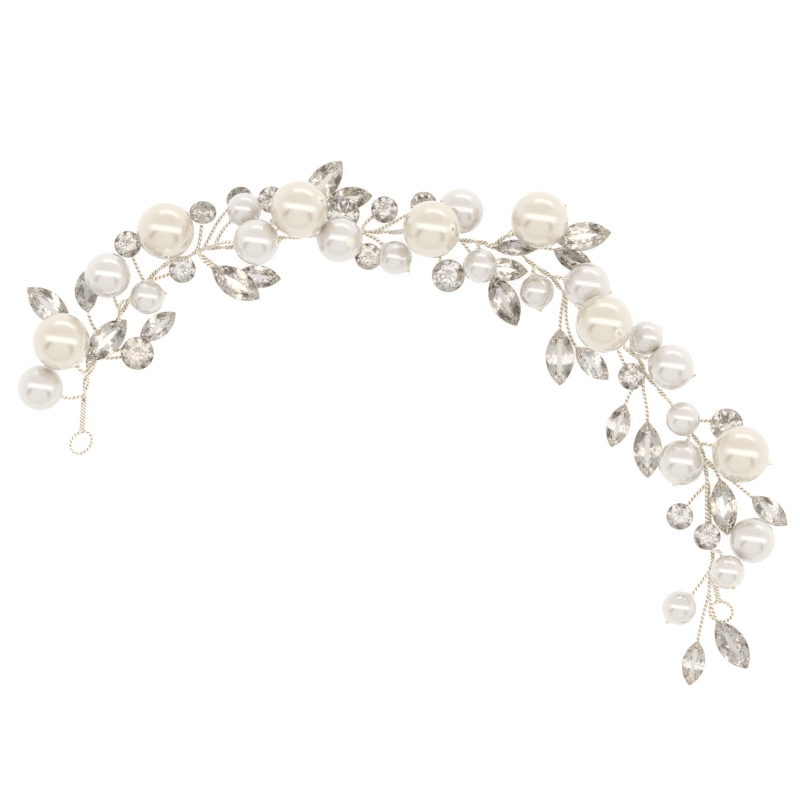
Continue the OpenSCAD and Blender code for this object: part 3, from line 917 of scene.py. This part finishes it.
def glass_material(name, tint, dark):
    """Polished crown of the stones, which tints the light that comes back through it, here and there to
    champagne. An attribute says how clear each facet is, from the dark tint to the full one, as a painted
    dark reflection in the duller facets."""
    material, shader, f = new_material(name, {"Roughness": 0.0, "IOR": 1.56, "Transmission Weight": 1.0})
    champagne = tuple(c * k for c, k in zip(tint, CHAMPAGNE))
    warmth = f.ranged(f.finish(*GLASS_FINISH)["Drift"], CHAMPAGNE_DRIFT, (0, 1))
    clear = f.blended(warmth, tint, champagne)
    f.put(f.blended(f.attribute("shade"), dark, clear), shader["Base Color"])
    return material


def foil_material(name, inside, brown, outside):
    """Foil on the back of the stones: a mirror as seen through the glass, bright but for the few facets
    that an attribute makes brown as a painted dark reflection, and gold lacquer outside."""
    material, shader, f = new_material(name, {"Metallic": 1.0})
    side = f.nodes.new("ShaderNodeNewGeometry").outputs["Backfacing"]
    mirror = f.blended(f.attribute("shade"), brown, inside)
    duller = tuple(c * DULLER for c in outside)
    lacquer = f.blended(f.finish(*FOIL_FINISH)["Drift"], outside, duller)
    f.put(f.blended(side, lacquer, mirror), shader["Base Color"])
    f.put(f.ranged(side, (0, 1), FOIL_ROUGH), shader["Roughness"])
    return material


def wire_material(name, light, dark):
    """Plated wire with painted shade that darkens it into the hollows of the twist, and a little worn and
    duller in places.
    """
    material, shader, f = new_material(name, {"Metallic": 1.0})
    drift, grain, normal = f.finish(*WIRE_FINISH)
    wear = f.ranged(drift, NOISE_RANGE, WEAR)
    # Painted shade towards the hollows between strands, plus a random wear that lightens or darkens
    tone = f.math("MULTIPLY_ADD", f.attribute("hollow"), HOLLOW_SHADE_GAIN, wear)
    f.put(f.blended(tone, light, dark), shader["Base Color"])
    f.put(f.ranged(grain, NOISE_RANGE, WIRE_ROUGH), shader["Roughness"])
    f.put(normal, shader["Normal"])
    return material


def floor_material():
    """Matt white card that glows a little, so that the shadows on it stay faint."""
    material, shader, f = new_material("white card", {
        "Roughness": 1.0,
        "Specular IOR Level": 0.0,
        "Emission Color": (1, 1, 1, 1),
        "Emission Strength": 0.8,
    })
    f.put(f.blended(f.finish(*CARD_FINISH)["Drift"], (0.3,) * 3, (0.32,) * 3), shader["Base Color"])
    return material


def shared(make, name, *given):
    """The material of that name, made once from what is given."""
    return bpy.data.materials.get(name) or make(name, *given)


def wire():
    """The wires' material."""
    return shared(wire_material, "champagne wire", colours().wire_light, colours().wire_hollow_shade)


def stone_materials(name, tint):
    """Glass of that name and tint, and the foil that all stones share."""
    c = colours()
    return [
        shared(glass_material, name, tint, c.crown_painted_dark),
        shared(foil_material, "foil back", c.foil_bright, c.foil_painted_dark, c.foil_gold),
    ]


def studio_world(room):
    """Plain white room round the vine, as one formula of the direction, with a long strip light just north
    of overhead and a low curved one far north. A faint veil between them dims the room, and so does an oval
    rim south of overhead, more so at its sides. The formula's two coordinates, x and y, are those of the
    direction halfway between the light and straight up, which is where a ball under the camera mirrors
    that light. The camera itself sees plain white."""
    world = bpy.data.worlds.new("studio")
    bpy.context.scene.world = world
    world.use_nodes = True
    nodes = world.node_tree.nodes
    nodes.clear()
    f = Recipe(world.node_tree)
    where = nodes.new("ShaderNodeTexCoord").outputs["Generated"]
    lifted = f.math("ADD", where, (0, 0, 1), kind="ShaderNodeVectorMath")
    parts = nodes.new("ShaderNodeSeparateXYZ")
    f.put(f.math("NORMALIZE", lifted, kind="ShaderNodeVectorMath"), parts.inputs[0])
    x, y = parts.outputs["X"], parts.outputs["Y"]
    strip = f.mul(f.band(f.add(y, f.mul(x, STRIP_LEAN)), *STRIP_Y), f.band(x, *STRIP_X))
    far = f.reach(x, y, (0, 0), (1, 1))
    arc = f.mul(f.band(far, *ARC_FAR), f.mul(f.ramp(y, *ARC_NORTH), f.band(x, *ARC_X)))
    veil = f.mul(f.band(y, *VEIL_Y), f.band(x, *VEIL_X))
    rim = f.band(f.reach(x, y, RIM_MIDDLE, RIM_HALF), *RIM_BAND)
    outward = f.ramp(f.math("ABSOLUTE", x), *SIDES_X)
    sides = f.mul(f.band(f.add(y, f.mul(x, SIDES_LEAN)), *SIDES_Y), outward)
    dim = f.add(f.mul(veil, VEIL_LOSS), f.mul(rim, f.add(RIM_LOSS, f.mul(sides, SIDES_LOSS))))
    light = f.add(f.sub(1, dim), f.add(strip, f.mul(arc, ARC_GAIN)))
    mix = nodes.new("ShaderNodeMixShader")
    f.put(nodes.new("ShaderNodeLightPath").outputs["Is Camera Ray"], mix.inputs["Fac"])
    for socket, tint, strength in (
        (mix.inputs[1], (0.985, 0.99, 1.0, 1), f.mul(light, room)),
        (mix.inputs[2], (1, 1, 1, 1), 1.0),
    ):
        seen = nodes.new("ShaderNodeBackground")
        f.put(tint, seen.inputs["Color"])
        f.put(strength, seen.inputs["Strength"])
        f.put(seen.outputs[0], socket)
    f.put(mix.outputs[0], nodes.new("ShaderNodeOutputWorld").inputs["Surface"])


# Steps and panel

class VINE_OT_stage(bpy.types.Operator):
    """Lay the pale floor, and set the soft studio light and the camera"""
    bl_idname = "vine.stage"
    bl_label = "Floor, light and camera"

    def execute(self, context):
        stage = context.scene.vine_stage
        half = FLOOR_HALF
        corners = [(-half, -half, 0), (half, -half, 0), (half, half, 0), (-half, half, 0)]
        mesh = bpy.data.meshes.new("floor")
        mesh.from_pydata(corners, [], [(0, 1, 2, 3)])
        mesh.materials.append(floor_material())
        floor = bpy.data.objects.new("floor", mesh)
        context.scene.collection.objects.link(floor)
        studio_world(stage.room_light)
        lens = bpy.data.cameras.new("camera")
        lens.lens = lens.sensor_width * stage.distance / stage.field
        camera = bpy.data.objects.new("camera", lens)
        camera.location = (stage.centre_x, stage.centre_y, stage.distance + BEADS_HEIGHT)
        context.scene.collection.objects.link(camera)
        context.scene.camera = camera
        context.scene.view_settings.view_transform = "Standard"
        cycles = context.scene.cycles
        cycles.max_bounces = cycles.glossy_bounces = cycles.transmission_bounces = BOUNCES
        return {"FINISHED"}


class VINE_OT_pearls(bpy.types.Operator):
    """Make the large, medium and small pearls, each drilled for its wire, with glue at its holes"""
    bl_idname = "vine.pearls"
    bl_label = "Pearls"

    def execute(self, context):
        s, c = sizes(), colours()
        hole = s.stem_wire_d + s.hole_room
        for word, rows, d, slot, name, body in (
            ("large", LARGE_PEARLS, s.pearl_large_d, "large_pearl", "cream pearl", c.pearl_cream),
            ("medium", MEDIUM_PEARLS, s.pearl_medium_d, "pearl", "white pearl", c.pearl_white),
            ("small", SMALL_PEARLS, s.pearl_small_d, "pearl", "white pearl", c.pearl_white),
        ):
            glue = shared(glue_material, "golden glue", c.glue_dark, c.glue_light)
            materials = [shared(pearl_material, name, body), glue]
            drop, whole_drop = (glue_drop(d, hole * GLUE_REACH, r) for r in (s.stem_wire_d / 2, 0))
            for i, row in enumerate(rows):
                node = f"pearl_{word}_{i + 1}"
                heading, pitch, through = row[HEADING], row[PITCH], row[THROUGH] == 1
                ball = drilled_ball(d, hole, None if through else HOLE_REACH * d)
                shapes = [(ball, heading, pitch, 0), (drop, heading + 180, -pitch, 1)]
                if through:
                    shapes.append((drop, heading, pitch, 1))
                if node in GLUE_DROPS:
                    shapes.append((whole_drop, *GLUE_DROPS[node], 1))
                parts = [(aimed(points, turn, rise) + centre(row, d / 2), quads, which, tris, which, True)
                         for (points, quads, tris), turn, rise, which in shapes]
                build(f"lustre_{node}", parts, materials, [node])
        return {"FINISHED"}


class VINE_OT_stones(bpy.types.Operator):
    """Cut the boat-shaped and round stones"""
    bl_idname = "vine.stones"
    bl_label = "Cut stones"

    def execute(self, context):
        s, c = sizes(), colours()
        for kind, cut, tint, singles, large, field, small in (
            ("navette", NAVETTE, c.navette_crystal,
             LARGE_NAVETTES, (s.navette_large_l, s.navette_large_w),
             SMALL_NAVETTES, (s.navette_small_l, s.navette_small_w)),
            ("round", ROUND, c.round_crystal,
             LARGE_ROUNDS, (s.round_large_d, s.round_large_d),
             SMALL_ROUNDS, (s.round_small_d, s.round_small_d)),
        ):
            materials = stone_materials(f"{kind} crystal", tint)
            for i, row in enumerate(singles):
                node = f"{kind}_large_{i + 1}"
                build_stones(f"cut_{node}", [row], cut, large, materials, node)
            node = f"small_{kind}s"
            build_stones(f"cut_{node}", field, cut, small, materials, node)
        return {"FINISHED"}


class VINE_OT_sprays(bpy.types.Operator):
    """Twist the trunk and the stems of each spray"""
    bl_idname = "vine.sprays"
    bl_label = "Spray wires"

    def execute(self, context):
        s = sizes()
        routes = stems()
        for k, (first, last) in enumerate(zip(SPRAY_ENDS, SPRAY_ENDS[1:])):
            step = np.linalg.norm(trunk_at(first + 0.5) - trunk_at(max(first - 0.5, 0)))
            start = first + (s.trunk_wire_d + s.seat_gap) / step if k else first
            strands = trunk_strands(start, last)
            for n, (row, route) in enumerate(routes):
                if first <= row[ROOT] < last:
                    strands += twisted(route, s.stem_wire_d, s.stem_twist, n * STEM_PHASE)
            node = f"spray_wire_{k + 1}"
            build_wires(f"twisted_{node}", strands, node)
        return {"FINISHED"}


class VINE_OT_ends(bpy.types.Operator):
    """Bend the two end loops and wrap their legs"""
    bl_idname = "vine.ends"
    bl_label = "End loops and wraps"

    def execute(self, context):
        s = sizes()
        leg_d = s.loop_wire_d * LEG_SHARE
        bore = leg_d + s.seat_gap
        wrap_r = bore / 2 + s.wrap_wire_d
        radius = (s.loop_d - s.loop_wire_d) / 2
        twist = s.stem_twist * LOOP_TWIST
        for word, at, end, shape in (
            ("left", LEFT_LOOP, trunk_at(0), LEFT_OVAL),
            ("right", RIGHT_LOOP, trunk_at(len(TRUNK) - 1), RIGHT_OVAL),
        ):
            middle = place(at, wrap_r)
            toward = math.atan2(*(end - middle)[1::-1])
            ring = middle + radius * loop_round(shape, toward + 2 * np.pi * np.linspace(0, 1, RING_STEPS))
            foot = ring[0]
            direction = unit(end - foot)
            reach = np.linalg.norm(end - foot)
            leg = foot + direction * np.linspace(0, reach, LEG_STEPS)[:, None]
            node = f"end_loop_{word}"
            strands = twisted(ring, s.loop_wire_d, twist) + twisted(leg, leg_d, twist)
            build_wires(f"twisted_{node}", strands, node)
            span = reach - bore / 2
            turns = np.linspace(0, span / s.wrap_rise, int(span / s.wrap_rise * COIL_STEPS))
            core = foot + direction * (bore / 2 + turns * s.wrap_rise)[:, None]
            sideways, upwards = across_route(core)
            # Each wire fills the wrap from a third of its radius outward
            coils = [strand(core, sideways, upwards, [(wrap_r * 2 / 3, turns + k / WRAP_WIRES)], wrap_r / 3)
                     for k in range(WRAP_WIRES)]
            node = f"end_wrap_{word}"
            build_wires(f"coiled_{node}", coils, node)
        return {"FINISHED"}


class VINE_PT_panel(bpy.types.Panel):
    """Sizes, colours and steps of the hair vine"""
    bl_label = "Hair Vine"
    bl_space_type = "VIEW_3D"
    bl_region_type = "UI"
    bl_category = "Hair Vine"

    def draw(self, context):
        for name in GROUPS:
            group = getattr(context.scene, name)
            box = self.layout.box()
            for key in group.bl_rna.properties.keys():
                if key not in ("rna_type", "name"):
                    box.prop(group, key)
        for step in STEPS:
            self.layout.operator(step.bl_idname)


STEPS = (VINE_OT_stage, VINE_OT_pearls, VINE_OT_stones, VINE_OT_sprays, VINE_OT_ends)
GROUPS = {"vine_sizes": VineSizes, "vine_colours": VineColours, "vine_stage": VineStage}
CLASSES = (*GROUPS.values(), *STEPS, VINE_PT_panel)


def register():
    for made in CLASSES:
        bpy.utils.register_class(made)
    for name, group in GROUPS.items():
        setattr(bpy.types.Scene, name, PointerProperty(type=group))


def unregister():
    for name in GROUPS:
        delattr(bpy.types.Scene, name)
    for made in reversed(CLASSES):
        bpy.utils.unregister_class(made)


def main():
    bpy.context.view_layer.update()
    register()
    for step in STEPS:
        family, name = step.bl_idname.split(".")
        getattr(getattr(bpy.ops, family), name)()


if __name__ == "__main__":
    main()
